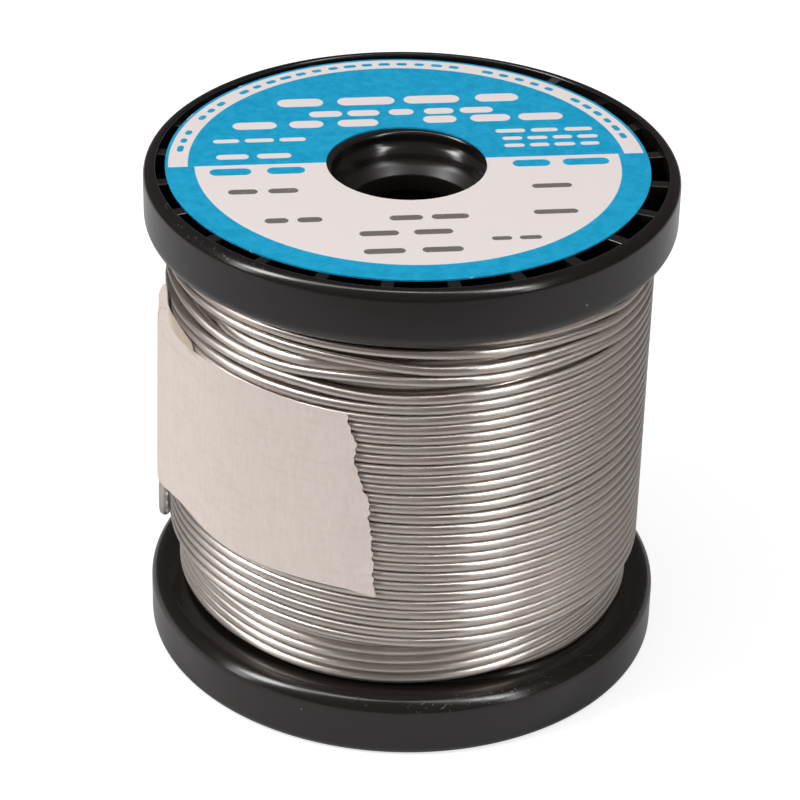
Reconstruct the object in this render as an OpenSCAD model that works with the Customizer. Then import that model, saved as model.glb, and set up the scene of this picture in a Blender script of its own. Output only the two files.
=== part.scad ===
// Solder wire spool: two ribbed flanges pressed onto a hollow barrel, wound with soft
// solder wire. The wire's free end is bent up across the turns, under a strip of paper tape.
// Millimetres. The origin is the centre of the lower rim, on the surface that the spool
// stands on, and +Z is the spindle's axis. +X is angle 0 and angles turn towards +Y.

/* [Flanges] */
// Diameter over the rim of both flanges
flange_d = 50; // [47:0.5:56]
// Height over both rims
overall_h = 50; // [46:0.1:60]
// Height of one flange's rim
rim_h = 6; // [5.5:0.05:7.5]
// Wall of the rim
rim_wall = 1.25; // [1.15:0.05:1.8]
// Rounding of the rim's outer edge
rim_round = 1.1; // [0.6:0.05:1.1]
// Rounding of the rim's edge beside the winding
inner_round = 1.5; // [0.6:0.05:1.9]
// Thickness of the web that the wire bears on
web_t = 1.65; // [1.2:0.05:2.2]
// Depth of the ribs and hub below the rim's edge
face_recess = 0.55; // [0.4:0.05:1]
// Number of radial ribs on each flange
rib_count = 24; // [18:1:28]
// Thickness of one rib
rib_t = 1.2; // [0.8:0.05:1.6]
// Angle of the first rib
rib_phase = 10; // [0:0.5:15]

/* [Spindle bore] */
// Diameter of the bore through each web
bore_d = 11.5; // [10:0.1:12.5]
// Diameter of the funnel's mouth
funnel_d = 15; // [14:0.1:16]
// Rounding of the funnel's lip
lip_round = 0.6; // [0.2:0.05:0.8]
// Wall of the hub round the funnel's mouth
hub_wall = 1.7; // [1.2:0.1:2.5]

/* [Barrel] */
// Outer diameter of the barrel
barrel_d = 30; // [26:0.5:34]
// Wall of the barrel
barrel_wall = 1.5; // [1.2:0.1:2.5]
// Height of the ring on each web that the barrel slides over
spigot_h = 3; // [2:0.25:5]
// Wall of that ring
spigot_wall = 1.4; // [1:0.1:2]
// Radial clearance between the ring and the barrel
spigot_clear = 0.05; // [0.02:0.01:0.1]

/* [Wire] */
// Diameter of the wire
wire_d = 1; // [0.7:0.05:1.05]
// Depth of the wound wire below the flanges' edge
winding_depth = 1.9; // [1.8:0.1:3.5]
// Step from the outer layer down to the layer below it
layer_step = 0.9; // [0.5:0.05:1]
// Height beside the lower flange that the outer layer leaves uncovered
bare_low = 4.9; // [3:0.1:6]
// Turns of the outer layer, which winds down from the upper flange
turns = 24; // [18:1:24]
// Angle at which the outer layer starts and ends
wire_start_angle = 130; // [100:5:140]
// Clearance between a flange and the turns beside it
side_clear = 0.2; // [0.1:0.05:0.4]
// Clearance between the layers, and between the wire and the barrel
layer_clear = 0.1; // [0.05:0.01:0.2]

/* [Wire tail] */
// Angle at which the free end has climbed onto the outer layer
climb_angle = 168; // [160:1:170]
// Angle at which the free end stands up across the turns
tail_angle = 185; // [180:1:195]
// Radius of the bend in the wire there
tail_bend_r = 1.2; // [1:0.1:2]
// Height of the cut tip, under the tape
tail_tip_z = 29.5; // [24:0.5:32]

/* [Label] */
// Width of the ring that the label leaves bare inside the rim
label_margin = 1.15; // [1.1:0.05:2]
// Gap between the funnel's mouth and the edge of the label's hole
label_hole_gap = 0.05; // [0:0.05:0.5]
// Thickness of the label
label_t = 0.15; // [0.1:0.01:0.2]
// How far the label was stuck off centre towards -X
label_shift = 0.4; // [0:0.05:0.5]
// How far it was stuck off centre towards +Y
label_back_shift = 0.75; // [0:0.05:0.75]

/* [Tape] */
// Width of the tape
tape_w = 19; // [15:0.5:25]
// Thickness of the tape
tape_t = 0.15; // [0.1:0.01:0.2]
// Height of the tape's lower edge where it lies on the wire
tape_z = 17.1; // [14:0.1:20]
// Angle of the end that lies behind
tape_start_angle = 104; // [98:1:120]
// Angle of the torn end in front
tape_end_angle = 260; // [245:1:280]
// Slant of the torn end, in degrees over the tape's width
tear_slant = 7; // [0:0.5:12]
// Depth of the tear's teeth
tear_depth = 0.35; // [0.1:0.05:0.6]
// How far the tape dips where it crosses the wire's free end
tape_dip = 1.6; // [0:0.1:2.5]
// Degrees beside the free end over which the tape comes down onto the turns
tape_lift_span = 26; // [20:1:32]

/* [Hidden] */

$fn = 96;
cut = 1;                  // how far a cutter reaches past the face it cuts
bite = 0.4;               // how far a rib reaches into the wall it joins
contact = 0.05;           // clearance of tape and wire that lie on the turns
arc_steps = 8;            // straight pieces in a rounded edge
ring_sides = 6;           // sides of the wire's section
turn_rings = 24;          // rings in one turn of wire
tape_columns = 44;        // pieces along the tape
tape_rows = 14;           // pieces across the tape
tape_dip_span = 28;       // degrees over which the tape dips
tape_crest_span = 5;      // degrees beside the free end over which the tape is fully raised
climb_rings = 8;          // rings where the free end climbs
level_rings = 4;          // rings where it runs level before the bend
bend_rings = 6;           // rings in the bend
upright_rings = 6;        // rings where it stands up
rise_l = 2;               // length of the wire's rise from the layer below

flange_r = flange_d / 2;
rim_in_r = flange_r - rim_wall;
bore_r = bore_d / 2;
funnel_r = funnel_d / 2;
hub_r = funnel_r + lip_round + hub_wall;
barrel_r = barrel_d / 2;
barrel_in_r = barrel_r - barrel_wall;
spigot_r = barrel_in_r - spigot_clear;
low_face = rim_h;
high_face = overall_h - rim_h;
throat_depth = rim_h - web_t;
label_seat = overall_h - face_recess;

label_r = rim_in_r - label_margin;
label_hole_r = funnel_r + label_hole_gap;

wire_r = wire_d / 2;
winding_r = flange_r - winding_depth;
turn_r = winding_r - wire_r;
first_turn_z = high_face - side_clear - wire_r;
last_turn_z = low_face + bare_low + wire_r;
turn_pitch = (first_turn_z - last_turn_z) / turns;
core_r = turn_r * cos(180 / turn_rings) - wire_r - layer_clear;
core_in_r = barrel_r + layer_clear;
bare_r = winding_r - layer_step;
tail_r = winding_r + contact + wire_r;

tape_low_r = winding_r + contact;
tape_high_r = tail_r + wire_r + contact;

// Points of an arc from angle a to angle b
function arc(x, y, r, a, b) =
    [for (i = [0:arc_steps]) let (t = a + (b - a) * i / arc_steps) [x + r * cos(t), y + r * sin(t)]];

// 0 below a, 1 above b, and smooth between
function ease(x, a, b) = let (t = min(1, max(0, (x - a) / (b - a)))) t * t * (3 - 2 * t);

function unit(v) = v / norm(v);
function at(r, angle, z) = [r * cos(angle), r * sin(angle), z];

// ---- Flanges ----

// Half section of a flange that stands on its outer face
module flange_section() {
    polygon(concat(
        [[rim_in_r, 0]],
        arc(flange_r - rim_round, rim_round, rim_round, -90, 0),
        arc(flange_r - inner_round, rim_h - inner_round, inner_round, 0, 90),
        [
            [spigot_r, rim_h], [spigot_r, rim_h + spigot_h],
            [spigot_r - spigot_wall, rim_h + spigot_h], [spigot_r - spigot_wall, rim_h],
            [bore_r, rim_h], [bore_r, throat_depth],
            [funnel_r, face_recess + lip_round]
        ],
        arc(funnel_r + lip_round, face_recess + lip_round, lip_round, 180, 270),
        [[hub_r, face_recess], [hub_r, throat_depth], [rim_in_r, throat_depth]]
    ));
}

module flange() {
    rotate_extrude() flange_section();
    for (i = [0:rib_count - 1])
        rotate(rib_phase + i * 360 / rib_count)
            translate([hub_r - bite, -rib_t / 2, face_recess])
                cube([rim_in_r - hub_r + 2 * bite, rib_t, throat_depth - face_recess + bite]);
}

module lower_flange() {
    color("#1d1c1b") flange();
}

module upper_flange() {
    color("#1d1c1b") translate([0, 0, overall_h]) mirror([0, 0, 1]) flange();
}

module barrel() {
    color("#2b2a29") translate([0, 0, low_face]) difference() {
        cylinder(r = barrel_r, h = high_face - low_face);
        translate([0, 0, -cut]) cylinder(r = barrel_in_r, h = high_face - low_face + 2 * cut);
    }
}

// ---- Label ----

module top_label() {
    color("#1896d0") translate([-label_shift, label_back_shift, label_seat]) difference() {
        cylinder(r = label_r, h = label_t);
        translate([0, 0, -cut]) cylinder(r = label_hole_r, h = label_t + 2 * cut);
    }
}

// ---- Winding ----

// Where the wire comes up out of the layer below and butts on the outer layer's first turn
module layer_rise() {
    foot = layer_path[0];
    depth = wire_d + layer_clear + 2 * bite;
    translate([foot.x, foot.y, 0]) rotate(atan2(start_run.y, start_run.x))
        translate([contact, wire_r - depth, foot.z - wire_r]) cube([rise_l, depth, wire_d]);
}

module wire_inner_layers() {
    floor_z = low_face + side_clear;
    bare_z = low_face + bare_low - layer_clear;
    top_z = high_face - side_clear;
    color("#8d8883") {
        rotate_extrude() polygon([
            [core_in_r, floor_z], [bare_r, floor_z], [bare_r, bare_z],
            [core_r, bare_z], [core_r, top_z], [core_in_r, top_z]
        ]);
        layer_rise();
    }
}

// Middle line of the outer layer, from the upper flange down
turn_points = [for (i = [0:turns * turn_rings])
    at(turn_r, wire_start_angle + i * 360 / turn_rings, first_turn_z - turn_pitch * i / turn_rings)];

// Both ends of the layer run straight for one wire diameter
last_turn = len(turn_points) - 1;
start_run = unit(turn_points[0] - turn_points[1]) * wire_d;
end_run = unit(turn_points[last_turn] - turn_points[last_turn - 1]) * wire_d;
joint = turn_points[last_turn] + end_run;
layer_path = concat([turn_points[0] + start_run], turn_points, [joint]);

// The free end goes straight on, climbs onto the turns, runs level and bends up across them
tail_first = joint + end_run;
tail_first_r = norm([tail_first.x, tail_first.y]);
tail_first_angle = atan2(tail_first.y, tail_first.x);
bend_angle = tail_angle - tail_bend_r / tail_r * 180 / PI;
upright_z = tail_first.z + tail_bend_r;
climb_points = [for (i = [1:climb_rings]) let (t = i / climb_rings) at(
    tail_first_r + (tail_r - tail_first_r) * ease(t, 0, 1),
    tail_first_angle + (climb_angle - tail_first_angle) * t,
    tail_first.z
)];
level_points = [for (i = [1:level_rings])
    at(tail_r, climb_angle + (bend_angle - climb_angle) * i / level_rings, tail_first.z)];
bend_points = [for (i = [1:bend_rings]) let (t = 90 * i / bend_rings)
    at(tail_r, bend_angle + (tail_angle - bend_angle) * sin(t), upright_z - tail_bend_r * cos(t))];
upright_points = [for (i = [1:upright_rings])
    at(tail_r, tail_angle, upright_z + (tail_tip_z - upright_z) * i / upright_rings)];
tail_path = concat([joint, tail_first], climb_points, level_points, bend_points, upright_points);

// Direction of a path at point i
function heading(p, i) = unit(p[min(i + 1, len(p) - 1)] - p[max(i - 1, 0)]);

// Corners of the wire's section at point i, square to the path
function ring(p, i) = let (
    t = heading(p, i),
    out = unit([p[i].x, p[i].y, 0]),
    n = unit(out - (out * t) * t),
    b = cross(t, n)
) [for (k = [0:ring_sides - 1]) let (a = k * 360 / ring_sides) p[i] + wire_r * (cos(a) * n + sin(a) * b)];

module wire_along(p) {
    last = len(p) - 1;
    points = [for (i = [0:last]) each ring(p, i)];
    sides = [for (i = [0:last - 1], k = [0:ring_sides - 1]) let (
        a = i * ring_sides + k,
        b = i * ring_sides + (k + 1) % ring_sides
    ) each [[a, a + ring_sides, b], [b, a + ring_sides, b + ring_sides]]];
    first_cap = [for (k = [1:ring_sides - 2]) [0, k, k + 1]];
    last_cap = [for (k = [1:ring_sides - 2]) let (z = last * ring_sides) [z, z + k + 1, z + k]];
    polyhedron(points, concat(sides, first_cap, last_cap), convexity = 10);
}

module wire_outer_layer() {
    color("#c9c2ba") wire_along(layer_path);
}

module wire_tail() {
    color("#c9c2ba") wire_along(tail_path);
}

// The least gap between a turn and the next, on the corners of their sections
turn_gap = min([for (i = [1:last_turn + 1 - turn_rings]) let (
    low = ring(layer_path, i),
    high = ring(layer_path, i + turn_rings)
) min([for (a = low, b = high) norm(a - b)])]);
echo(turn_gap = turn_gap);

// ---- Tape ----

// Radius of the tape's inner side: it lies on the turns and bridges the wire's free end
function tape_r(a) = tape_high_r
    - (tape_high_r - tape_low_r) * ease(abs(a - tail_angle), tape_crest_span, tape_lift_span);

// Angle of the tape's torn end at height z above its lower edge
function tear_at(h) = tape_end_angle + tear_slant * (0.5 - h / tape_w);

function tape_dip_at(a) = tape_dip * (1 - ease(a, tail_angle, tail_angle + tape_dip_span));

module retaining_tape() {
    cols = tape_columns + 1;
    grid = [for (i = [0:tape_columns], j = [0:tape_rows]) let (
        h = tape_w * j / tape_rows,
        tooth = (j % 2) * tear_depth / winding_r * 180 / PI,
        a = tape_start_angle + (tear_at(h) - tape_start_angle - tooth) * i / tape_columns
    ) [a, tape_z + h - tape_dip_at(a)]];
    rows = tape_rows + 1;
    count = cols * rows;
    inner = [for (g = grid) at(tape_r(g[0]), g[0], g[1])];
    outer = [for (g = grid) at(tape_r(g[0]) + tape_t, g[0], g[1])];
    faces = [for (i = [0:tape_columns - 1], j = [0:tape_rows - 1]) let (
        a = i * rows + j,
        b = a + rows
    ) each [
        [a, b, a + 1], [b, b + 1, a + 1],
        [count + a, count + a + 1, count + b], [count + b, count + a + 1, count + b + 1]
    ]];
    ends = [for (j = [0:tape_rows - 1]) let (z = tape_columns * rows + j) each [
        [j, j + 1, count + j], [j + 1, count + j + 1, count + j],
        [z, count + z, z + 1], [z + 1, count + z, count + z + 1]
    ]];
    edges = [for (i = [0:tape_columns - 1]) let (a = i * rows, b = a + rows, c = a + tape_rows, d = c + rows)
        each [
            [a, count + a, b], [b, count + a, count + b],
            [c, d, count + c], [d, count + d, count + c]
        ]];
    color("#ded2c6") polyhedron(concat(inner, outer), concat(faces, ends, edges), convexity = 6);
}

upper_flange();
lower_flange();
barrel();
top_label();
wire_inner_layers();
wire_outer_layer();
wire_tail();
retaining_tape();
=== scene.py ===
"""Solder wire spool: its moulded flanges, printed label, close winding, free end and paper tape.

Pieces are drawn in millimetres and scaled to metres when they are finished. Angles are in
degrees: 0 is +X, 90 is +Y. An angle along the wire keeps growing from turn to turn.
"""

import math

import bmesh
import bpy
from bpy.props import FloatProperty, FloatVectorProperty, IntProperty, PointerProperty
from mathutils import Matrix, Vector


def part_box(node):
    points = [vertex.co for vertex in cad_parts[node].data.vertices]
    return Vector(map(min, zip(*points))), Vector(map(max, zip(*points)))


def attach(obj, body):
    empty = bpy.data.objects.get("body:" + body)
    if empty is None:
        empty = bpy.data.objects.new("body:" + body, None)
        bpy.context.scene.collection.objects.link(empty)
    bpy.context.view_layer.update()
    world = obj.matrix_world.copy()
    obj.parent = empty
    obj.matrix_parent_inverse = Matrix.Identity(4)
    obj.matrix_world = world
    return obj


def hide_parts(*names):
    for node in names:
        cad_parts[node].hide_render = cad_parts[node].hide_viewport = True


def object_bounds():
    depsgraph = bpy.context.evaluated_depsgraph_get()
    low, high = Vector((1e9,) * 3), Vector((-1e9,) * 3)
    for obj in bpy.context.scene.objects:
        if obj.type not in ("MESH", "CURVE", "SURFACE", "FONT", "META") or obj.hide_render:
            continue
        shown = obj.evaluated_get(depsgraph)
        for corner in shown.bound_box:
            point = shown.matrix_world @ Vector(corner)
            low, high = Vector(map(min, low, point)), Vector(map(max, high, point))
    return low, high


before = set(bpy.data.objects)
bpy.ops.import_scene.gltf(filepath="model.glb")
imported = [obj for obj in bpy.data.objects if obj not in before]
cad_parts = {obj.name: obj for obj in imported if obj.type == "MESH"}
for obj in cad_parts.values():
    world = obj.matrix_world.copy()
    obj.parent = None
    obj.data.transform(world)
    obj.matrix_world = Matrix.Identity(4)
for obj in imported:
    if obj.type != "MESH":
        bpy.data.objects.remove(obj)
cad_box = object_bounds()

bl_info = {
    "name": "Solder wire spool",
    "version": (1, 0, 0),
    "blender": (4, 5, 0),
    "location": "View3D > Sidebar > Spool",
    "description": "Builds a spool of solder wire: flanges, label, winding, free end and tape",
    "category": "Object",
}

MM = 0.001
BODY = "root"
RING_STEPS = 192          # faces round a whole turn of a flange or the label
CORE_STEPS = 128          # and of the core of deep wire, which hardly shows


# ---- Sizes that the frame gives, in millimetres ----

def node_box(node):
    """Lowest and highest corner of a CAD node, in millimetres."""
    low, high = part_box(node)
    return low / MM, high / MM


flange_high = node_box("lower_flange")[1]
barrel_low, barrel_high = node_box("barrel")
label_low, label_high = node_box("top_label")
winding_high = node_box("wire_outer_layer")[1]

FLANGE_R = flange_high.x
TOP_Z = cad_box[1].z / MM
RIM_H = barrel_low.z
WEB_TOP = barrel_high.z
BARREL_R = barrel_high.x
SPIGOT_H = flange_high.z - RIM_H
LABEL_X = (label_high.x + label_low.x) / 2
LABEL_Y = (label_high.y + label_low.y) / 2
LABEL_Z = label_low.z
LABEL_T = label_high.z - label_low.z
WINDING_R = winding_high.x


# ---- Properties ----

def measure(name, description, size):
    """A length that a user can set, with its default in millimetres."""
    return FloatProperty(name=name, description=description, default=size * MM, unit="LENGTH")


def tint(name, description, value):
    """A colour that a user can set."""
    return FloatVectorProperty(name=name, description=description, default=value, subtype="COLOR")


class FlangeSizes(bpy.types.PropertyGroup):
    """Sizes of one moulded flange."""

    rim_wall: measure("Rim wall", "Wall of the rim", 1.15)
    rim_round: measure("Rim rounding", "Rounding of the rim's outer edge", 0.95)
    inner_round: measure("Inner rounding", "Rounding beside the winding", 1.5)
    face_recess: measure("Face recess", "Depth of the ribs below the rim", 0.55)
    web: measure("Web", "Thickness of the web beside the wire", 1.65)
    rib_count: IntProperty(name="Ribs", description="Number of radial ribs", default=24, min=3)
    rib_width: measure("Rib width", "Thickness of one rib", 1.2)
    rib_phase: FloatProperty(
        name="First rib", description="Angle of the first rib", default=math.radians(10), subtype="ANGLE")
    bore: measure("Bore radius", "Radius of the spindle bore", 5.75)
    funnel: measure("Funnel radius", "Radius of the funnel's mouth", 7.5)
    lip: measure("Funnel lip", "Rounding of the funnel's lip", 0.35)
    hub_wall: measure("Hub wall", "Wall of the hub round the funnel", 1.7)
    spigot: measure("Spigot radius", "Outer radius of the ring in the barrel", 13.45)
    spigot_wall: measure("Spigot wall", "Wall of the ring in the barrel", 1.4)


class LabelSizes(bpy.types.PropertyGroup):
    """Sizes of the printed ring on the upper flange."""

    outer: measure("Radius", "Radius of the label", 22.62)
    hole: measure("Hole radius", "Radius of the hole over the funnel", 7.5)
    hole_shift: FloatVectorProperty(
        name="Hole shift", description="How far the hole was punched off the label's middle", size=3,
        subtype="TRANSLATION", unit="LENGTH", default=(-0.14 * MM, -0.1 * MM, 0))
    upper_band: measure("Upper band", "Where the white band of the print starts", 20.5)
    lower_band: measure("Lower band", "Where the blue band of the print starts", 19.88)
    turn: FloatProperty(
        name="Turn", description="How far the print is turned on the spool", default=math.radians(7),
        subtype="ANGLE")
    divider: measure("Divider", "Height of the line between the two halves", 0.46)


class WireSizes(bpy.types.PropertyGroup):
    """Sizes of the solder wire and its winding."""

    radius: measure("Radius", "Radius of the wire", 0.515)
    pitch: measure("Pitch", "Height from one outer turn to the next", 1.053)
    inner_pitch: measure("Inner pitch", "Height from one inner turn to the next", 1.036)
    inner_radius: measure("Inner layer", "Radius of the layer below the outer one", 21.68)
    bend: measure("Bend", "Radius of the free end's bend", 1.2)


class TapeSizes(bpy.types.PropertyGroup):
    """Sizes of the paper tape."""

    thickness: measure("Thickness", "Thickness of the tape", 0.08)


class Colours(bpy.types.PropertyGroup):
    """Colours of the finishes."""

    plastic: tint("Flanges", "Black moulded plastic", (0.008, 0.0062, 0.005))
    barrel: tint("Barrel", "Matt black plastic", (0.11, 0.092, 0.088))
    solder: tint("Solder", "Bright solder wire", (0.665, 0.612, 0.56))
    ink: tint("Blue ink", "Blue of the label", (0.004, 0.335, 0.575))
    paper: tint("Label paper", "White of the label", (0.8, 0.74, 0.725))
    black_ink: tint("Black ink", "Stamped rows on the label", (0.07, 0.06, 0.055))
    tape: tint("Tape", "Beige paper tape", (0.88, 0.79, 0.72))


class Studio(bpy.types.PropertyGroup):
    """The lamps and the surroundings."""

    lamp: FloatProperty(name="Lamps", description="Radiance of the soft boxes", default=9.5, min=0)
    panel: FloatProperty(
        name="Panels", description="Radiance of the tall panels round the soft boxes", default=5, min=0)
    front: tint("Room in front", "The dim room beside the camera", (0.205, 0.178, 0.182))
    back: tint("Room behind", "The dim room behind the spool", (0.12, 0.112, 0.112))
    sheet: measure("Sheet", "Radius of the white sheet that the spool stands on", 170)
    mirrored: FloatProperty(
        name="Mirrored", description="Share of the sheet's own glow that shows in gloss", default=0.1,
        min=0, max=1)


SETTINGS = {
    "spool_flange": FlangeSizes,
    "spool_label": LabelSizes,
    "spool_wire": WireSizes,
    "spool_tape": TapeSizes,
    "spool_colours": Colours,
    "spool_studio": Studio,
}


# ---- Small tools for modelling ----

def ease(x, start, end):
    """0 before start, 1 after end, and smooth between."""
    t = min(1.0, max(0.0, (x - start) / (end - start)))
    return t * t * (3 - 2 * t)


def apart(angle, middle):
    """How many degrees an angle is from another, the short way round."""
    return abs((angle - middle + 180) % 360 - 180)


def polar(radius, angle, height):
    """A point from its radius, angle in degrees and height."""
    turn = math.radians(angle)
    return Vector((radius * math.cos(turn), radius * math.sin(turn), height))


def deselect_all():
    """Leaves no object selected."""
    if bpy.context.object and bpy.context.object.mode != "OBJECT":
        bpy.ops.object.mode_set(mode="OBJECT")
    bpy.ops.object.select_all(action="DESELECT")


def pick(*objects):
    """Selects these objects only. The first is the active one."""
    deselect_all()
    for thing in objects:
        thing.select_set(True)
    bpy.context.view_layer.objects.active = objects[0]


def edit_only(piece, parts, test):
    """Goes into edit mode with only those of a piece's faces or verts selected that pass a test."""
    pick(piece)
    bpy.ops.object.mode_set(mode="EDIT")
    bpy.ops.mesh.select_all(action="DESELECT")
    mesh = bmesh.from_edit_mesh(piece.data)
    for part in getattr(mesh, parts):
        part.select = test(part)
    bmesh.update_edit_mesh(piece.data)


def drawn_outline(name, points, rounds):
    """Draws a closed outline in the XZ plane, point by point, and rounds its corners.

    points are (x, z) pairs, and rounds gives a corner's number its rounding.
    """
    deselect_all()
    bpy.ops.mesh.primitive_plane_add(size=1)
    piece = bpy.context.object
    piece.name = name
    bpy.ops.object.mode_set(mode="EDIT")
    bpy.ops.mesh.select_all(action="SELECT")
    bpy.ops.mesh.merge(type="CENTER")
    bpy.ops.transform.translate(value=(points[0][0], 0, points[0][1]))
    for before, point in zip(points, points[1:] + points[:1]):
        step = (point[0] - before[0], 0, point[1] - before[1])
        bpy.ops.mesh.extrude_region_move(TRANSFORM_OT_translate={"value": step})
    bpy.ops.mesh.select_all(action="SELECT")
    bpy.ops.mesh.remove_doubles(threshold=0.0001)
    for corner in sorted(rounds, reverse=True):
        place = Vector((points[corner][0], 0, points[corner][1]))
        bpy.ops.mesh.select_all(action="DESELECT")
        mesh = bmesh.from_edit_mesh(piece.data)
        nearest = min(mesh.verts, key=lambda v: (v.co - place).length)
        nearest.select = True
        bmesh.update_edit_mesh(piece.data)
        radius, segments = rounds[corner]
        bpy.ops.mesh.bevel(offset=radius, segments=segments, affect="VERTICES")
    return piece


def closed_up(distance):
    """Merges the edited mesh's doubles, turns its faces outwards and leaves edit mode."""
    bpy.ops.mesh.select_all(action="SELECT")
    bpy.ops.mesh.remove_doubles(threshold=distance)
    bpy.ops.mesh.normals_make_consistent(inside=False)
    bpy.ops.object.mode_set(mode="OBJECT")


def spun(piece, steps):
    """Turns the outline that is being edited about the spindle into a closed shell."""
    bpy.ops.mesh.select_all(action="SELECT")
    bpy.ops.mesh.spin(steps=steps, angle=math.tau, center=(0, 0, 0), axis=(0, 0, 1))
    closed_up(0.002)
    return piece


def merged(first, *others):
    """Joins pieces of one moulding into the first."""
    pick(first, *others)
    bpy.ops.object.join()
    return first


def applied(piece, kind, **settings):
    """Adds a modifier with these settings and applies it."""
    pick(piece)
    modifier = piece.modifiers.new(kind.title(), kind)
    for setting, value in settings.items():
        setattr(modifier, setting, value)
    bpy.ops.object.modifier_apply(modifier=modifier.name)
    return piece


def finished(piece, material, nodes, smooth_angle=40):
    """Scales a piece to metres, shades it, gives it its finish and lets it ride on the spool."""
    pick(piece)
    piece.data.transform(Matrix.Scale(MM, 4) @ piece.matrix_world)
    piece.matrix_world = Matrix.Identity(4)
    bpy.ops.object.shade_smooth_by_angle(angle=math.radians(smooth_angle))
    applied(piece, "WEIGHTED_NORMAL", keep_sharp=True)
    piece.data.materials.clear()
    piece.data.materials.append(material)
    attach(piece, BODY)
    if nodes:
        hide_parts(*nodes)
    deselect_all()


def curve_through(keys, at):
    """Smooth value between keys, each (place, value), at a place."""
    if at <= keys[0][0]:
        return keys[0][1]
    if at >= keys[-1][0]:
        return keys[-1][1]
    i = max(k for k in range(len(keys) - 1) if keys[k][0] <= at)

    def slope(k):
        low, high = max(k - 1, 0), min(k + 1, len(keys) - 1)
        return (keys[high][1] - keys[low][1]) / (keys[high][0] - keys[low][0])

    span = keys[i + 1][0] - keys[i][0]
    t = (at - keys[i][0]) / span
    a, b = keys[i][1], keys[i + 1][1]
    square, cube = t * t, t * t * t
    return (
        a * (2 * cube - 3 * square + 1) + slope(i) * span * (cube - 2 * square + t)
        + b * (3 * square - 2 * cube) + slope(i + 1) * span * (cube - square)
    )


def wire_tube(name, points, radius, sides):
    """A round wire along points, as a closed mesh."""
    deselect_all()
    line = bpy.data.curves.new(name, "CURVE")
    line.dimensions = "3D"
    line.twist_mode = "MINIMUM"
    line.bevel_depth = radius
    line.bevel_resolution = sides // 2 - 2
    line.use_fill_caps = True
    spline = line.splines.new("POLY")
    spline.points.add(len(points) - 1)
    for place, point in zip(spline.points, points):
        place.co = (*point, 1)
    piece = bpy.data.objects.new(name, line)
    bpy.context.scene.collection.objects.link(piece)
    pick(piece)
    bpy.ops.object.convert(target="MESH")
    piece = bpy.context.object
    bpy.ops.object.mode_set(mode="EDIT")
    closed_up(0.001)
    return piece


# ---- Materials ----

def math_node(operation, swapped=False):
    """A method of Field that adds one Math node. swapped puts the field last."""
    def method(self, *others):
        values = (*others, self) if swapped else (self, *others)
        return self.nodes.node("ShaderNodeMath", {"operation": operation}, dict(enumerate(values)))

    return method


class Field:
    """A value that varies from place to place. Arithmetic on it adds Math nodes."""

    def __init__(self, nodes, socket):
        self.nodes = nodes
        self.socket = socket

    __add__ = math_node("ADD")
    __radd__ = math_node("ADD", swapped=True)
    __sub__ = math_node("SUBTRACT")
    __rsub__ = math_node("SUBTRACT", swapped=True)
    __mul__ = math_node("MULTIPLY")
    __rmul__ = math_node("MULTIPLY", swapped=True)
    __truediv__ = math_node("DIVIDE")
    __abs__ = math_node("ABSOLUTE")
    __lt__ = math_node("LESS_THAN")
    __gt__ = math_node("GREATER_THAN")
    least = math_node("MINIMUM")
    most = math_node("MAXIMUM")
    floored = math_node("FLOOR")
    rooted = math_node("SQRT")

    def between(self, start, end):
        """0 at start, 1 at end, and smooth between."""
        return self.nodes.node(
            "ShaderNodeMapRange", {"interpolation_type": "SMOOTHSTEP"},
            {"Value": self, "From Min": start, "From Max": end})


class Nodes:
    """The node tree of a material or of the room."""

    def __init__(self, owner):
        owner.use_nodes = True
        self.tree = owner.node_tree

    def node(self, kind, settings=None, inputs=None, output=0):
        """Adds a node with these settings and socket values or links, and gives one output."""
        made = self.tree.nodes.new(kind)
        for setting, value in (settings or {}).items():
            setattr(made, setting, value)
        for key, value in (inputs or {}).items():
            found = [s for s in made.inputs if s.identifier == key or s.name == key]
            self.feed(made.inputs[key] if isinstance(key, int) else found[0], value)
        return Field(self, made.outputs[output])

    def feed(self, socket, value):
        """Sets or links a socket."""
        if isinstance(value, Field):
            self.tree.links.new(value.socket, socket)
        elif hasattr(value, "__len__") and socket.type == "RGBA":
            socket.default_value = (*value[:3], 1.0)
        else:
            socket.default_value = value

    def axes(self, place):
        """The three numbers of a vector."""
        split = self.node("ShaderNodeSeparateXYZ", inputs={0: place})
        return [Field(self, s) for s in split.socket.node.outputs]

    def mix(self, share, first, second):
        """A colour between two."""
        return self.node(
            "ShaderNodeMix", {"data_type": "RGBA"},
            {"Factor_Float": share, "A_Color": first, "B_Color": second}, output=2)


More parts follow.
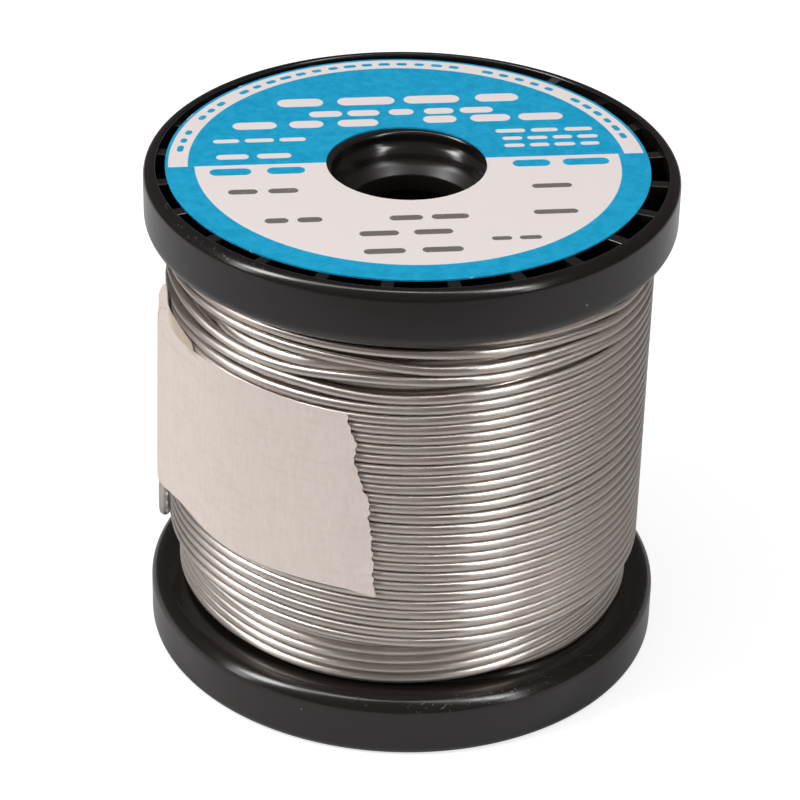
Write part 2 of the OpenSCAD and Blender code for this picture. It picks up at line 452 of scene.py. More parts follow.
class Finish(Nodes):
    """A procedural material: its node tree, and the surface that its fields drive."""

    def __init__(self, name, colour, roughness, metallic=0.0):
        self.material = bpy.data.materials.new(name)
        super().__init__(self.material)
        self.surface = next(n for n in self.tree.nodes if n.type == "BSDF_PRINCIPLED")
        self.set("Base Color", colour)
        self.set("Roughness", roughness)
        self.set("Metallic", metallic)

    def set(self, socket, value):
        """Sets or links a socket of the surface."""
        self.feed(self.surface.inputs[socket], value)

    def place(self, scale=(1, 1, 1), move=(0, 0, 0)):
        """Object coordinates in millimetres, moved and then scaled."""
        metres = self.node("ShaderNodeTexCoord", output=3)
        moved = self.node("ShaderNodeMapping", {"vector_type": "POINT"}, {
            "Vector": metres, "Scale": (1 / MM,) * 3, "Location": move})
        return self.node("ShaderNodeMapping", {"vector_type": "POINT"}, {"Vector": moved, "Scale": scale})

    def noise(self, place, scale, detail, roughness=0.5):
        """Soft noise from 0 to 1."""
        return self.node("ShaderNodeTexNoise", inputs={
            "Vector": place, "Scale": scale, "Detail": detail, "Roughness": roughness})

    def specks(self, place, spacing, size, share):
        """Small round specks at random places: 1 in a speck and 0 elsewhere."""
        cells = self.node("ShaderNodeTexVoronoi", inputs={"Vector": place, "Scale": 1 / spacing})
        distance, colour = (Field(self, socket) for socket in cells.socket.node.outputs[:2])
        chosen = self.axes(colour)
        reach = chosen[1] * (size / spacing)
        return (distance < reach) * (chosen[0] < share)

    def bump(self, height, distance):
        """Raises the surface by a height, where 1 stands for the distance in millimetres."""
        self.set("Normal", self.node("ShaderNodeBump", inputs={
            "Height": height, "Distance": distance * MM, "Strength": 1.0}))


def shaded(colour, *shares):
    """A colour with these shares of its red, green and blue."""
    return tuple(c * share for c, share in zip(colour, shares))


def moulded_plastic(colours):
    """Glossy black plastic, with a faint moulded grain, dust, and wear along the rims."""
    finish = Finish("moulded_black_plastic", colours.plastic, 0.15)
    place = finish.place()
    x, y, _ = finish.axes(place)
    radius = (x * x + y * y).rooted()
    grain = finish.noise(place, 2.2, 3)
    cloud = finish.noise(place, 0.16, 3)
    inside = radius.between(FLANGE_R - 1.5, FLANGE_R - 0.9)
    outside = radius.between(FLANGE_R - 0.25, FLANGE_R - 0.02)
    patch = finish.noise(place, 0.11, 1).between(0.5, 0.62)
    scratch = finish.noise(finish.place(scale=(1, 1, 2.5)), 1.7, 4, 0.7).between(0.6, 0.72)
    wear = inside * (1 - outside) * patch * scratch
    dust = finish.specks(place, 3.1, 0.16, 0.22)
    finish.set("Base Color", finish.mix(dust.most(wear * 0.5), colours.plastic, (0.28, 0.26, 0.24)))
    funnel = 1 - radius.between(6.3, 7.2)
    finish.set("Roughness", 0.14 + cloud * 0.08 + grain * 0.02 + funnel * 0.2 + wear * 0.25 + dust * 0.4)
    finish.set("Specular IOR Level", 0.6)
    finish.bump(grain * 0.35 + wear, 0.006)
    return finish.material


def barrel_plastic(colours):
    """Matt black plastic."""
    finish = Finish("matt_black_plastic", colours.barrel, 0.6)
    grain = finish.noise(finish.place(), 3.0, 3)
    finish.set("Roughness", 0.5 + grain * 0.2)
    finish.bump(grain, 0.02)
    return finish.material


# Scale of the drawn lines on each axis, where the wire lies in turns and where it stands upright
LYING = (0.12, 0.12, 7)
UPRIGHT = (5, 5, 0.12)


def bright_solder(name, colours, along, turn=0.25):
    """Drawn solder wire: bright, with fine lines along it and dull patches.

    along is the scale of the lines' pattern on each axis, small along the wire. turn makes the
    gloss spread across the wire: a quarter where the wire lies, and 0 where it stands upright.
    """
    finish = Finish(name, colours.solder, 0.2, 1.0)
    lines = finish.noise(finish.place(scale=along), 1.0, 3, 0.6)
    place = finish.place()
    cloud = finish.noise(place, 0.3, 3)
    dull = cloud.between(0.45, 0.7)
    shade = shaded(colours.solder, 0.86, 0.85, 0.86)
    finish.set("Base Color", finish.mix(dull * 0.6 + lines * 0.3, colours.solder, shade))
    finish.set("Roughness", 0.28 + lines * 0.05 + dull * 0.04)
    finish.set("Anisotropic", 0.85)
    finish.set("Anisotropic Rotation", turn)
    finish.bump(lines, 0.0012)
    return finish.material


def hidden_solder(colours, wire):
    """The deep layers of wire behind the turns that show, in painted shade: dimmer than the bright solder
    on their crowns, and dark in the grooves between them.
    """
    finish = Finish("deep_solder", colours.solder, 0.35, 1.0)
    pitch = wire.inner_pitch / MM
    z = finish.axes(finish.place())[2]
    phase = z / pitch - (z / pitch).floored() - 0.5
    # Painted shade: the deep turns are dim on their crowns and dark in their grooves
    crown_shade, groove_shade = (0.4, 0.37, 0.35), (0.06, 0.055, 0.05)
    finish.bump(1 - phase * phase * 4, 0.4)
    finish.set("Base Color", finish.mix(abs(phase) * 1.6, crown_shade, groove_shade))
    return finish.material


class Print:
    """The ink on the label, in millimetres from its middle, x along the divider."""

    def __init__(self, finish, turn):
        self.finish = finish
        x, y, _ = finish.axes(finish.place(move=(-LABEL_X, -LABEL_Y, 0)))
        cosine, sine = math.cos(turn), math.sin(turn)
        self.along = x * cosine + y * sine
        self.up = y * cosine - x * sine
        self.radius = (x * x + y * y).rooted()

    def edge(self, distance):
        """1 where a distance is below 0, with a soft edge 0.06 mm wide."""
        return 1 - distance.between(-0.03, 0.03)

    def bars(self, place, cell, step, rise, thick, seed, short, spread):
        """Bars with round ends along a line, one in a cell, and the chance that gives their lengths."""
        chance = self.finish.node("ShaderNodeTexWhiteNoise", {"noise_dimensions": "1D"}, {"W": cell + seed})
        half = (short + chance * spread) * step - thick / 2
        out = (abs(place - cell - 0.5) * step - half).most(0)
        return self.edge((out * out + rise * rise).rooted() - thick / 2), chance

    def row(self, left, right, height, thick, word, seed):
        """A row of bars, in place of words."""
        count = max(1, round((right - left) / word))
        step = (right - left) / count
        place = (self.along - left) / step
        cell = place.floored().most(0).least(count - 1)
        return self.bars(place, cell, step, self.up - height, thick, seed, short=0.33, spread=0.12)[0]

    def rows(self, table):
        """Several rows of bars together."""
        mask = self.row(*table[0])
        for row in table[1:]:
            mask = mask.most(self.row(*row))
        return mask

    def arc(self, radius, thick, word, start, end, seed):
        """Short dashes along the outer band, from one angle to another, in degrees."""
        angle = self.finish.node("ShaderNodeMath", {"operation": "ARCTAN2"}, {0: self.up, 1: self.along})
        along = (angle - math.radians(start)) * radius
        length = math.radians(end - start) * radius
        step = length / round(length / word)
        place = along / step
        rise = self.radius - radius
        bars, chance = self.bars(
            place, place.floored(), step, rise, thick, seed, short=0.26, spread=0.14)
        return bars * (along > 0) * (along < length) * (chance < 0.86)


# Rows of bars on the label: left, right, height, thickness, length of a word, seed
WHITE_ROWS = [
    (-12.2, 13.3, 13.25, 1.7, 6.4, 1), (-8.6, 9.6, 10.65, 1.25, 3.6, 2),
    (-16.2, -1.4, 8.55, 1.5, 4.9, 3), (1.6, 16.2, 8.85, 1.5, 4.9, 4),
    (-18.2, -8.8, 5.45, 0.75, 3.1, 5), (8.8, 18.6, 5.95, 0.75, 3.2, 6),
    (9.2, 18.8, 4.35, 0.7, 2.4, 7), (9.2, 18.8, 2.85, 0.7, 2.4, 8), (-18.2, -10.4, 2.15, 1.0, 3.9, 9),
]
BLUE_ROWS = [(-19.2, -8.9, -0.9, 1.35, 5.1, 11), (8.9, 19.2, -0.9, 1.35, 5.1, 12)]
STAMPED_ROWS = [
    (-17.6, -10.2, -4.95, 0.95, 3.7, 21), (10.2, 15.2, -5.55, 0.85, 5.0, 22),
    (-14.6, -8.6, -10.75, 0.95, 3.0, 23), (-3.4, 4.6, -10.95, 0.95, 4.0, 24),
    (9.9, 14.7, -10.65, 0.85, 4.8, 25), (-6.6, 3.2, -13.75, 0.95, 4.9, 26),
    (-6.6, 3.8, -17.1, 0.95, 5.2, 27), (5.4, 10.6, -15.4, 0.7, 2.6, 28),
]


def printed_label(colours, label):
    """Coated label paper: blue above the divider, white below, the bands the other way round."""
    finish = Finish("printed_label", colours.paper, 0.5)
    ink = Print(finish, label.turn)
    outer = label.outer / MM
    upper = 1 - ink.edge(ink.up - label.divider / MM)
    lower = 1 - upper
    upper_band = 1 - ink.edge(ink.radius - label.upper_band / MM)
    lower_band = 1 - ink.edge(ink.radius - label.lower_band / MM)
    rim_line = 1 - ink.edge(ink.radius - (outer - 0.3))
    blue = (upper * (1 - upper_band)).most(lower * lower_band).most(rim_line)

    white_rows = ink.rows(WHITE_ROWS)
    blue_rows = ink.rows(BLUE_ROWS)
    stamped_rows = ink.rows(STAMPED_ROWS)
    dashes = ink.arc((label.upper_band / MM + outer) / 2 - 0.15, 0.6, 1.75, 9, 171, 31)

    place = finish.place()
    fibre = finish.noise(place, 5.0, 3, 0.6)
    mottle = finish.noise(place, 1.1, 4, 0.65)
    frayed = (ink.radius > outer - 0.09) * (finish.noise(place, 0.8, 3, 0.6) > 0.66)
    inked = (blue * (1 - white_rows)).most(blue_rows * lower).most(dashes * upper * upper_band)
    inked = inked * (1 - frayed)
    deep = shaded(colours.ink, 0.93, 0.93, 0.93)
    pale = tuple(c * 1.08 + 0.01 for c in colours.ink)
    tone = finish.mix(mottle.between(0.35, 0.65), deep, pale)
    grey = shaded(colours.paper, 0.965, 0.965, 0.965)
    sheet = finish.mix(fibre.between(0.3, 0.7), colours.paper, grey)
    ground = finish.mix(inked, sheet, tone)
    worn = 1 - finish.noise(place, 6.0, 2).between(0.62, 0.8) * 0.6
    stamped = stamped_rows * lower * (1 - lower_band) * worn
    finish.set("Base Color", finish.mix(stamped * 0.88, ground, colours.black_ink))
    finish.set("Roughness", 0.46 + fibre * 0.12)
    finish.set("Specular IOR Level", 0.25)
    finish.bump(fibre * 0.6 + mottle * 0.4, 0.012)
    return finish.material


def creped_paper(colours, turn_pitch):
    """Beige masking paper with a fine crepe, over turns that show as faint bumped ribs with painted shade
    along them; a corner lying flat on the turns has painted shade.
    """
    finish = Finish("creped_paper", colours.tape, 0.78)
    place = finish.place()
    crepe = finish.noise(finish.place(scale=(2.4, 2.4, 0.5)), 1.0, 4, 0.6)
    fibre = finish.noise(place, 4.0, 4, 0.65)
    cloud = finish.noise(place, 0.22, 3)
    x, y, z = finish.axes(place)
    turns = z / turn_pitch
    # The turns below show as faint ribs: they bump the paper, and painted shade darkens the paper along
    # them
    ribs = abs(turns - turns.floored() - 0.5) * finish.noise(place, 0.5, 3).between(0.42, 0.62)
    shade = shaded(colours.tape, 0.87, 0.86, 0.84)
    paper = finish.mix(
        crepe.between(0.3, 0.7) * 0.35 + fibre.between(0.35, 0.7) * 0.3 + cloud * 0.2 + ribs * 0.5,
        colours.tape, shade)
    # Painted shade: a corner of the lower strip lies flat on the turns beside the upper one, and is painted
    # darker there for the shade that falls on it
    flat = 1 - (x * x + y * y).rooted().between(TAPE_R + 0.1, TAPE_R + 0.2)
    corner_shade = flat * y.between(-13.6, -12) * z.between(35.7, 36.2)
    corner_shade_tone = shaded(colours.tape, 0.7, 0.66, 0.6)
    finish.set("Base Color", finish.mix(corner_shade, paper, corner_shade_tone))
    finish.set("Roughness", 0.7 + fibre * 0.15)
    finish.bump(crepe * 0.5 + fibre * 0.4 - ribs * 0.5, 0.05)
    return finish.material


# ---- Flanges ----

def flange_outline(sizes):
    """Half section of a flange that stands on its outer face, and the corners to round."""
    rim_in = FLANGE_R - sizes.rim_wall / MM
    recess = sizes.face_recess / MM
    pocket = RIM_H - sizes.web / MM
    bore = sizes.bore / MM
    mouth = sizes.funnel / MM
    lip = sizes.lip / MM
    hub = mouth + lip + sizes.hub_wall / MM
    spigot_out = sizes.spigot / MM
    spigot_in = spigot_out - sizes.spigot_wall / MM
    # The funnel's wall runs straight from its mouth, steps in, narrows and turns in to the bore
    wall_end = recess + 1.15
    ledge_end = recess + 1.75
    cone_end = pocket - 0.95
    points = [
        (rim_in, 0), (FLANGE_R, 0), (FLANGE_R, RIM_H),
        (spigot_out, RIM_H), (spigot_out, RIM_H + SPIGOT_H),
        (spigot_in, RIM_H + SPIGOT_H), (spigot_in, RIM_H),
        (bore, RIM_H), (bore, pocket - 0.1),
        (mouth - 0.8, cone_end), (mouth - 0.5, ledge_end), (mouth, wall_end),
        (mouth, recess), (hub, recess), (hub, pocket), (rim_in, pocket),
    ]
    # Corner's number: radius, segments
    rounds = {
        0: (0.2, 5), 1: (sizes.rim_round / MM, 12), 2: (sizes.inner_round / MM, 14),
        4: (0.3, 3), 5: (0.3, 3), 7: (0.15, 3), 8: (0.1, 3), 9: (0.35, 6), 10: (0.36, 7), 11: (0.36, 7),
        12: (lip, 8), 13: (0.25, 3), 14: (0.4, 4), 15: (0.4, 4),
    }
    return points, rounds


def one_rib(sizes):
    """One radial rib between the hub and the rim, with softened edges."""
    rim_in = FLANGE_R - sizes.rim_wall / MM
    hub = (sizes.funnel + sizes.lip + sizes.hub_wall) / MM
    recess = sizes.face_recess / MM
    pocket = RIM_H - sizes.web / MM
    sink = 0.35               # how far a rib runs into the hub, the rim and the web
    draft = 1.12              # how much wider it is at the web
    length = rim_in - hub + 2 * sink
    height = pocket - recess + sink
    deselect_all()
    bpy.ops.mesh.primitive_cube_add(size=1, location=(hub - sink + length / 2, 0, recess + height / 2))
    rib = bpy.context.object
    rib.dimensions = (length, sizes.rib_width / MM, height)
    bpy.ops.object.transform_apply(location=True, rotation=True, scale=True)
    edit_only(rib, "faces", lambda face: face.normal.z > 0.9)
    bpy.ops.transform.resize(value=(1, draft, 1))
    bpy.ops.object.mode_set(mode="OBJECT")
    return applied(rib, "BEVEL", width=0.14, segments=3)


def make_flange(name, sizes, turned_over):
    """A flange with all its ribs, standing on the floor or turned over on top of the barrel."""
    points, rounds = flange_outline(sizes)
    flange = spun(drawn_outline(name, points, rounds), RING_STEPS)
    first = one_rib(sizes)
    ribs = [first]
    for i in range(1, sizes.rib_count):
        rib = first.copy()
        rib.data = first.data.copy()
        bpy.context.scene.collection.objects.link(rib)
        ribs.append(rib)
    for i, rib in enumerate(ribs):
        rib.data.transform(Matrix.Rotation(sizes.rib_phase + math.tau * i / sizes.rib_count, 4, "Z"))
    flange = merged(flange, *ribs)
    if turned_over:
        flange.data.transform(Matrix.Translation((0, 0, TOP_Z)) @ Matrix.Scale(-1, 4, (0, 0, 1)))
        pick(flange)
        bpy.ops.object.mode_set(mode="EDIT")
        bpy.ops.mesh.select_all(action="SELECT")
        bpy.ops.mesh.flip_normals()
        bpy.ops.object.mode_set(mode="OBJECT")
    return flange


class SPOOL_OT_flanges(bpy.types.Operator):
    """Mould the two ribbed flanges"""

    bl_idname = "spool.flanges"
    bl_label = "Flanges"

    def execute(self, context):
        sizes = context.scene.spool_flange
        plastic = moulded_plastic(context.scene.spool_colours)
        for node, turned_over in (("lower_flange", False), ("upper_flange", True)):
            flange = make_flange("moulded_" + node, sizes, turned_over)
            finished(flange, plastic, [node], 30)
        return {"FINISHED"}


class SPOOL_OT_barrel(bpy.types.Operator):
    """Give the barrel its matt plastic"""

    bl_idname = "spool.barrel"
    bl_label = "Barrel"

    def execute(self, context):
        material = barrel_plastic(context.scene.spool_colours)
        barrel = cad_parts["barrel"]
        barrel.data.materials.clear()
        barrel.data.materials.append(material)
        return {"FINISHED"}


# ---- Label ----

class SPOOL_OT_label(bpy.types.Operator):
    """Cut the ring label and print it"""

    bl_idname = "spool.label"
    bl_label = "Label"

    def execute(self, context):
        label = context.scene.spool_label
        hole, outer = label.hole / MM, label.outer / MM
        outline = [(hole, 0), (outer, 0), (outer, LABEL_T), (hole, LABEL_T)]
        ring = spun(drawn_outline("ring_label", outline, {}), RING_STEPS)
        edit_only(ring, "verts", lambda vertex: vertex.co.xy.length < (hole + outer) / 2)
        bpy.ops.transform.translate(value=Vector(label.hole_shift) / MM)
        bpy.ops.object.mode_set(mode="OBJECT")
        ring.data.transform(Matrix.Translation((LABEL_X, LABEL_Y, LABEL_Z)))
        finished(ring, printed_label(context.scene.spool_colours, label), ["top_label"], 20)
        return {"FINISHED"}


# ---- Winding ----

# The first turns lie loose under the upper flange: angle along the wire, height, radius
LOOSE_TURNS = [
    (-135, 43.3, 21.75), (-100, 43.3, 21.75), (-65, 43.05, 22.15), (-40, 42.55, 22.5), (-30, 42.15, 22.6),
    (60, 42.6, 22.6), (150, 42.95, 22.6), (240, 42.85, 22.6),
    (270, 42.7, 22.65), (295, 42.2, 22.65), (310, 41.85, 22.6), (330, 41.05, 22.6),
    (420, 41.55, 22.6), (510, 41.9, 22.6), (570, 41.92, 22.6), (600, 41.7, 22.6),
    (618, 41.5, 22.6), (640, 40.8, 22.6), (670, 40.6, 22.6), (690, 40, 22.6),
    (780, 40.5, 22.6), (870, 40.85, 22.6), (900, 40.7, 22.6), (917, 40.5, 22.6), (928, 40.12, 22.6),
    (940, 39.65, 22.6), (952, 39.4, 22.6), (962, 39.42, 22.6), (980, 39.85, 22.6), (1010, 39.6, 22.6),
    (1035, 39.45, 22.6),
    (1055, 38.8, 22.6), (1160, 38.5, 22.6), (1270, 38.4, 22.6), (1320, 38.35, 22.6),
]
# Where a turn of the layer below rises into the gap between two of them: angle, out, up
RISEN_TURN = [
    (-1230, 0, 0), (-1222, 0.05, 0.22), (-1218, 0.55, 0.42), (-1213, 0.86, 0.45), (-1205, 0.89, 0.49),
    (-1195, 0.87, 0.6), (-1188, 0.6, 0.7), (-1182, 0.38, 0.75), (-1172, 0.15, 0.6), (-1155, 0.02, 0.1),
    (-1140, 0, 0),
]
LOOSE_END = 1345          # where the wire starts to lie in regular turns
REGULAR_AT = 1350         # a place in front, and the height of the wire there
REGULAR_Z = 37.9
LAYER_END = 10572         # where the outer layer ends and the free end starts
OUTER_TURN_R = 22.6
STEP_WIDTH = 110          # degrees over which a turn steps down to the next one's height
HUMP_ANGLE = -60          # where the upper turns rise a little, right of the front
DIP_ANGLE = -97           # where the layer below hangs lowest


def crossover(angle, z):
    """How the turns lie between level and stepping down, at an angle and a height.

    The step is under the tape high up, in front at half height and a little to the left low down.
    """
    middle = -150 + 58 * ease(-z, -31, -22) - 20 * ease(-z, -20, -13)
    place = ((angle - middle) / 360 + 0.5) % 1
    return ease((place - 0.5) * 360 / STEP_WIDTH, -0.5, 0.5) - place


def regular_height(angle, pitch):
    """Height of the close turns: each lies nearly level for most of a turn and then steps down."""
    z = REGULAR_Z - pitch * (angle - REGULAR_AT) / 360
    step = 0.95 + 0.3 * ease(-z, -30, -12)
    hump = 0.2 * (1 - ease(apart(angle, HUMP_ANGLE), 0, 32)) * (1 - ease(-z, -38, -30))
    slow = math.radians(angle * 0.83)
    quick = math.radians(angle * 2.37 + 40)
    wander = 0.018 * math.sin(slow) + 0.012 * math.sin(quick)
    return z - step * (crossover(angle, z) - crossover(REGULAR_AT, z)) + hump + wander


def outer_layer_points(wire):
    """Middle line of the outer layer, from the upper flange down."""
    pitch = wire.pitch / MM
    keys = LOOSE_TURNS + [(LOOSE_END, regular_height(LOOSE_END, pitch), OUTER_TURN_R)]
    keys.append((LOOSE_END + 10, regular_height(LOOSE_END + 10, pitch), OUTER_TURN_R))
    heights = [(a, z) for a, z, _ in keys]
    radii = [(a, r) for a, _, r in keys]
    points = []
    step = 3.75
    angle = LOOSE_TURNS[0][0]
    while angle < LAYER_END - step / 2:
        height = curve_through(heights, angle) if angle < LOOSE_END else regular_height(angle, pitch)
        points.append(polar(curve_through(radii, angle), angle, height))
        angle += step
    points.append(polar(OUTER_TURN_R, LAYER_END, regular_height(LAYER_END, pitch)))
    return points


def inner_layer_points(wire):
    """Middle line of the layer below, from the lower flange up to the outer layer's start."""
    pitch = wire.inner_pitch / MM
    lowest = RIM_H + wire.radius / MM + 0.03
    end_angle, end_z, _ = LOOSE_TURNS[0]

    def dip(angle):
        return 0.56 * ease(apart(angle, DIP_ANGLE), 0, 55)

    outward = [(a, out) for a, out, _ in RISEN_TURN]
    upward = [(a, up) for a, _, up in RISEN_TURN]
    turns = 35.85
    points = []
    step = 3
    count = round(turns * 360 / step)
    for i in range(count + 1):
        angle = end_angle - (count - i) * step
        height = end_z - 0.02 - pitch * (count - i) * step / 360 + dip(angle) - dip(end_angle)
        height += curve_through(upward, angle)
        radius = wire.inner_radius / MM - 1.1 * (1 - ease(i * step, 0, 40)) + curve_through(outward, angle)
        points.append(polar(radius, angle, max(height, lowest)))
    return points


class SPOOL_OT_winding(bpy.types.Operator):
    """Wind the close outer layer of wire"""

    bl_idname = "spool.winding"
    bl_label = "Outer layer"

    def execute(self, context):
        wire = context.scene.spool_wire
        layer = wire_tube("close_winding", outer_layer_points(wire), wire.radius / MM, 16)
        solder = bright_solder("bright_solder", context.scene.spool_colours, LYING)
        finished(layer, solder, ["wire_outer_layer"], 60)
        return {"FINISHED"}


class SPOOL_OT_inner_winding(bpy.types.Operator):
    """Wind the layer below, over a core of the deeper layers"""

    bl_idname = "spool.inner_winding"
    bl_label = "Inner layers"

    def execute(self, context):
        wire = context.scene.spool_wire
        colours = context.scene.spool_colours
        layer = wire_tube("inner_layer_turns", inner_layer_points(wire), wire.radius / MM, 12)
        solder = bright_solder("inner_solder", colours, LYING)
        finished(layer, solder, ["wire_inner_layers"], 60)
        core_r = (wire.inner_radius - wire.radius) / MM - 0.05
        hole_r = BARREL_R + 0.1
        low, high = RIM_H + 0.2, WEB_TOP - 0.2
        outline = [(hole_r, low), (core_r, low), (core_r, high), (hole_r, high)]
        soft = (0.4, 4)       # radius and segments of a rounded corner
        core = spun(drawn_outline("deep_layers", outline, {1: soft, 2: soft}), CORE_STEPS)
        finished(core, hidden_solder(colours, wire), [])
        return {"FINISHED"}


# ---- Free end ----

TAIL_WIRE_R = 0.5         # radius of the wire in the free end
TAIL_ANGLE = 185          # where the free end stands up across the turns
TAIL_CLIMB = 168          # where it has climbed onto the winding
TAIL_TOP = 29.5           # height of its cut tip, under the tape


def tail_points(wire):
    """Middle line of the free end: on from the last turn, up onto the winding and across it."""
    pitch = wire.pitch / MM
    bend = wire.bend / MM
    radius = WINDING_R + TAIL_WIRE_R - 0.03
    start = LAYER_END % 360
    low_z = regular_height(LAYER_END, pitch)
    level_z = low_z + 0.1
    bend_start = TAIL_ANGLE - math.degrees(bend / radius)
    points = []
    angle = start
    while angle < bend_start - 1:
        out = ease(angle, start + 3, TAIL_CLIMB)
        points.append(polar(
            OUTER_TURN_R + (radius - OUTER_TURN_R) * out, angle, low_z + (level_z - low_z) * out))
        angle += 2
    for i in range(10):
        t = math.radians(i * 10)
        across = bend_start + (TAIL_ANGLE - bend_start) * math.sin(t)
        points.append(polar(radius + 0.2 * math.sin(t), across, level_z + bend * (1 - math.cos(t))))
    steps = 24
    for i in range(steps + 1):
        z = level_z + bend + (TAIL_TOP - level_z - bend) * i / steps
        stand = 0.2 * (1 - ease(i, 0, steps / 2)) - 0.14 * ease(i, steps / 3, steps)
        points.append(polar(radius + stand, TAIL_ANGLE + 0.25 * math.sin(i * 0.45), z))
    return points


class SPOOL_OT_tail(bpy.types.Operator):
    """Bend the wire's free end up across the turns"""

    bl_idname = "spool.tail"
    bl_label = "Free end"

    def execute(self, context):
        wire = context.scene.spool_wire
        tail = wire_tube("free_end", tail_points(wire), TAIL_WIRE_R, 16)
        solder = bright_solder("bright_solder_end", context.scene.spool_colours, UPRIGHT, 0.0)
        finished(tail, solder, ["wire_tail"], 60)
        return {"FINISHED"}


# ---- Tape ----

TAPE_R = 23.16            # radius of the tape's inner side where it lies on the turns
BACK_LOW = 16.9           # height of the lower strip's lower edge, and its width
BACK_WIDTH = 22.6
# How far the tape stands off the turns over the free end: angle, off low down, off at the top
TENT = [
    (104, 0, 0), (150, 0, 0), (160, 0.14, 0.02), (168, 0.49, 0.14), (175, 0.82, 0.39),
    (180, 0.9, 0.52), (185, 0.91, 0.54), (190, 0.83, 0.38), (196, 0.64, 0.11), (202, 0.42, 0.03),
    (209, 0.2, 0.01), (216, 0.06, 0), (224, 0, 0), (270, 0, 0),
]
# Edges of the strip in front: angle, height
FRONT_TOP = [
    (158, 34.25), (178, 33.65), (186, 34.15), (192.5, 35.15), (199, 35.95), (203, 36.05), (210, 36.25),
    (216, 36.45), (234, 36.55), (250, 36.35), (258, 36.25),
]
FRONT_LOW = [
    (158, 16.55), (180, 16.15), (188, 16.45), (194, 17.25), (200, 17.95), (205, 18.25), (210, 18.15),
    (216, 17.75), (224, 17.45), (235, 17.55), (256, 17.45), (264, 16.85),
]
# The torn end in front: share of the tape's height, angle
TORN_END = [
    (0.0, 263.8), (0.1, 263.5), (0.2, 263.2), (0.3, 262.9), (0.42, 262.3), (0.52, 262.1),
    (0.6, 260.8), (0.7, 259.1), (0.76, 258.7), (0.82, 259.1), (0.92, 257.7), (1.0, 256.8),
]
# The strip below: its top edge, and its end beside the free end, height, angle
BACK_TOP = [
    (104, 33.4), (150, 33.5), (165, 33.6), (176, 34), (180, 34.8), (184, 36), (187, 37.1),
    (190, 38.3), (193.5, 39.4), (215, 39.6),
]
BACK_END = [
    (17, 190), (33.6, 190), (35.2, 211), (36, 212), (36.7, 210.5), (36.95, 207), (37.1, 202),
    (37.25, 197.5), (37.6, 196), (38.6, 195.6), (39.6, 195),
]


def strip_piece(name, columns, rows, shape, thickness):
    """A strip of paper: a grid laid out by shape(along, up), thickened outwards."""
    deselect_all()
    bpy.ops.mesh.primitive_grid_add(x_subdivisions=columns, y_subdivisions=rows, size=1)
    strip = bpy.context.object
    strip.name = name
    for vertex in strip.data.vertices:
        vertex.co = shape(vertex.co.x + 0.5, vertex.co.y + 0.5)
    return applied(strip, "SOLIDIFY", thickness=thickness, offset=1)


def tent(angle, z):
    """Radius of the tape's inner side: on the turns, and out over the free end, less so higher up."""
    low = curve_through([(a, off) for a, off, _ in TENT], angle)
    top = curve_through([(a, off) for a, _, off in TENT], angle)
    share = min(1, max(0, (z - 18) / 18))
    return TAPE_R + low + (top - low) * share


def front_strip(sizes):
    """The outer strip, from behind the free end to the torn end in front."""
    start = 158

    def shape(along, up):
        # It lies over the lower strip up to the angle held, and its torn end curls off the turns
        ragged = 0.3 * math.sin(up * 61) * math.sin(up * 23 + 1) + 0.16 * math.sin(up * 137)
        end = curve_through(TORN_END, up) + ragged
        angle = start + (end - start) * along
        low, top = curve_through(FRONT_LOW, angle), curve_through(FRONT_TOP, angle)
        z = low + (top - low) * up
        held = 192 + 22 * ease(z, 33.4, 35.2)
        over = (sizes.thickness / MM + 0.02) * (1 - ease(angle, held - 8, held + 4))
        curl = 0.12 * ease(along, 0.975, 1.0) * (0.6 + 0.4 * math.sin(up * 17))
        return polar(tent(angle, z) + over + curl, angle, z)

    return strip_piece("front_strip", 130, 110, shape, sizes.thickness / MM)


def back_strip(sizes):
    """The strip below it, which goes round the back from beside the free end."""
    start = 104

    def shape(along, up):
        end = curve_through(BACK_END, BACK_LOW + BACK_WIDTH * up)
        angle = start + (end - start) * along
        angle += 0.3 * math.sin(up * 47 + 2) * (1 - ease(along, 0, 0.05))
        low = BACK_LOW + 2 * ease(angle, 168, 182)
        top = curve_through(BACK_TOP, angle)
        z = low + (top - low) * up
        return polar(tent(angle, z), angle, z)

    return strip_piece("back_strip", 130, 90, shape, sizes.thickness / MM)


class SPOOL_OT_tape(bpy.types.Operator):
    """Stick the paper tape over the free end"""

    bl_idname = "spool.tape"
    bl_label = "Tape"

    def execute(self, context):
        sizes = context.scene.spool_tape
        tape = merged(front_strip(sizes), back_strip(sizes))
        tape.name = "paper_tape"
        paper = creped_paper(context.scene.spool_colours, context.scene.spool_wire.pitch / MM)
        finished(tape, paper, ["retaining_tape"], 50)
        return {"FINISHED"}


# ---- Stage ----

# The camera: its place in millimetres, how far it looks down, its roll and its lens
CAMERA_PLACE = Vector((-0.609, -258.952, 180.911))
CAMERA_DOWN = math.radians(31.189)
CAMERA_ROLL = math.radians(1.441)
CAMERA_LENS = 140.19


def soft_box(name, azimuth, elevation, width, height, radiance):
    """A flat lamp that faces the spool. Its place and its size are angles in degrees."""
    distance = 0.6
    target = Vector((0, 0, TOP_Z * MM / 2))
    rise = math.radians(elevation)
    out = polar(math.cos(rise), azimuth, math.sin(rise))
    lamp = bpy.data.lights.new(name, "AREA")
    lamp.shape = "RECTANGLE"
    lamp.size = 2 * distance * math.tan(math.radians(width / 2))
    lamp.size_y = 2 * distance * math.tan(math.radians(height / 2))
    lamp.energy = radiance * math.pi * lamp.size * lamp.size_y
    box = bpy.data.objects.new(name, lamp)
    box.location = target + out * distance
    box.rotation_euler = out.to_track_quat("Z", "Y").to_euler()
    bpy.context.scene.collection.objects.link(box)


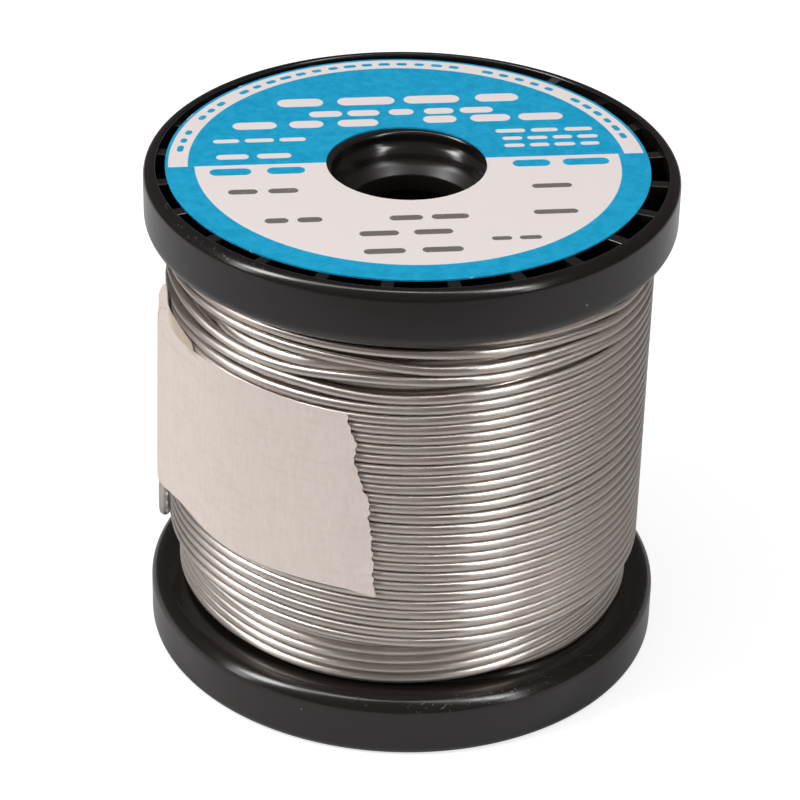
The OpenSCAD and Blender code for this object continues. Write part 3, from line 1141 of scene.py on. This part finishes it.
def studio_floor(studio):
    """A round white sheet on a dim floor, which keeps the spool's shadow.

    The sheet glows a little for the camera, and only by the mirrored share of that in gloss.
    """
    white, glow = (0.55, 0.55, 0.55), (0.7, 0.7, 0.7)
    behind = 60               # how far the sheet's middle lies behind the spool
    edge = 15                 # half the width of the sheet's soft edge
    finish = Finish("white_sheet", white, 0.9)
    x, y, _ = finish.axes(finish.place(move=(0, -behind, 0)))
    radius = studio.sheet / MM
    sheet = 1 - (x * x + y * y).rooted().between(radius - edge, radius + edge)
    path = finish.node("ShaderNodeLightPath").socket.node.outputs
    gloss = Field(finish, path["Is Glossy Ray"]).most(Field(finish, path["Is Transmission Ray"]))
    seen = Field(finish, path["Is Camera Ray"]).most(gloss * studio.mirrored)
    finish.set("Base Color", finish.mix(sheet, studio.front, white))
    finish.set("Emission Color", finish.mix(seen * sheet, (0, 0, 0), glow))
    finish.set("Emission Strength", 1.0)
    finish.set("Specular IOR Level", 0.0)
    return finish.material


def dim_room(studio):
    """The room round the stage: dim, and a little brighter in front of the spool than behind it."""
    world = bpy.data.worlds.new("room")
    nodes = Nodes(world)
    x, y, _ = nodes.axes(nodes.node("ShaderNodeTexCoord"))
    depth = (x * 0.45 + y).between(-0.8, 0.7)
    background = nodes.tree.nodes["Background"]
    nodes.feed(background.inputs["Color"], nodes.mix(depth, studio.front, studio.back))
    return world


class SPOOL_OT_stage(bpy.types.Operator):
    """Set up the floor, the room, the lamps and the camera"""

    bl_idname = "spool.stage"
    bl_label = "Stage"

    def execute(self, context):
        studio = context.scene.spool_studio
        deselect_all()
        bpy.ops.mesh.primitive_circle_add(vertices=96, radius=4, fill_type="NGON")
        floor = context.object
        floor.name = "floor"
        floor.data.materials.append(studio_floor(studio))
        # Azimuth, elevation, width and height in degrees
        soft_box("left_soft_box", -160, 43, 12, 26, studio.lamp * 1.1)
        soft_box("right_soft_box", -41, 46, 8, 28, studio.lamp * 0.95)
        soft_box("left_panel", -160, 47, 12, 92, studio.panel)
        soft_box("right_panel", -41, 47, 7, 92, studio.panel)
        context.scene.world = dim_room(studio)
        camera = bpy.data.cameras.new("camera")
        camera.lens = CAMERA_LENS
        camera.sensor_width = 36
        camera.clip_start = 0.01
        eye = bpy.data.objects.new("camera", camera)
        tilt = Matrix.Rotation(math.pi / 2 - CAMERA_DOWN, 4, "X") @ Matrix.Rotation(CAMERA_ROLL, 4, "Z")
        eye.matrix_world = Matrix.Translation(CAMERA_PLACE * MM) @ tilt
        context.scene.collection.objects.link(eye)
        context.scene.camera = eye
        context.scene.view_settings.view_transform = "Standard"
        return {"FINISHED"}


# ---- Panel and registration ----

OPERATORS = [
    SPOOL_OT_stage, SPOOL_OT_flanges, SPOOL_OT_barrel, SPOOL_OT_label,
    SPOOL_OT_inner_winding, SPOOL_OT_winding, SPOOL_OT_tail, SPOOL_OT_tape,
]


class SPOOL_PT_panel(bpy.types.Panel):
    """The steps that build the spool, and their sizes"""

    bl_idname = "SPOOL_PT_panel"
    bl_label = "Solder wire spool"
    bl_space_type = "VIEW_3D"
    bl_region_type = "UI"
    bl_category = "Spool"

    def draw(self, context):
        for step in OPERATORS:
            self.layout.operator(step.bl_idname)
        for setting, kind in SETTINGS.items():
            box = self.layout.box()
            for prop in kind.__annotations__:
                box.prop(getattr(context.scene, setting), prop)


def register():
    """Adds the properties, operators and panel."""
    for setting, kind in SETTINGS.items():
        bpy.utils.register_class(kind)
        setattr(bpy.types.Scene, setting, PointerProperty(type=kind))
    for kind in (*OPERATORS, SPOOL_PT_panel):
        bpy.utils.register_class(kind)


def unregister():
    """Takes them away again."""
    for kind in (*OPERATORS, SPOOL_PT_panel):
        bpy.utils.unregister_class(kind)
    for setting, kind in SETTINGS.items():
        delattr(bpy.types.Scene, setting)
        bpy.utils.unregister_class(kind)


def main():
    """Builds the stage and every piece."""
    register()
    bpy.ops.spool.stage()
    bpy.ops.spool.flanges()
    bpy.ops.spool.barrel()
    bpy.ops.spool.label()
    bpy.ops.spool.inner_winding()
    bpy.ops.spool.winding()
    bpy.ops.spool.tail()
    bpy.ops.spool.tape()


if __name__ == "__main__":
    main()
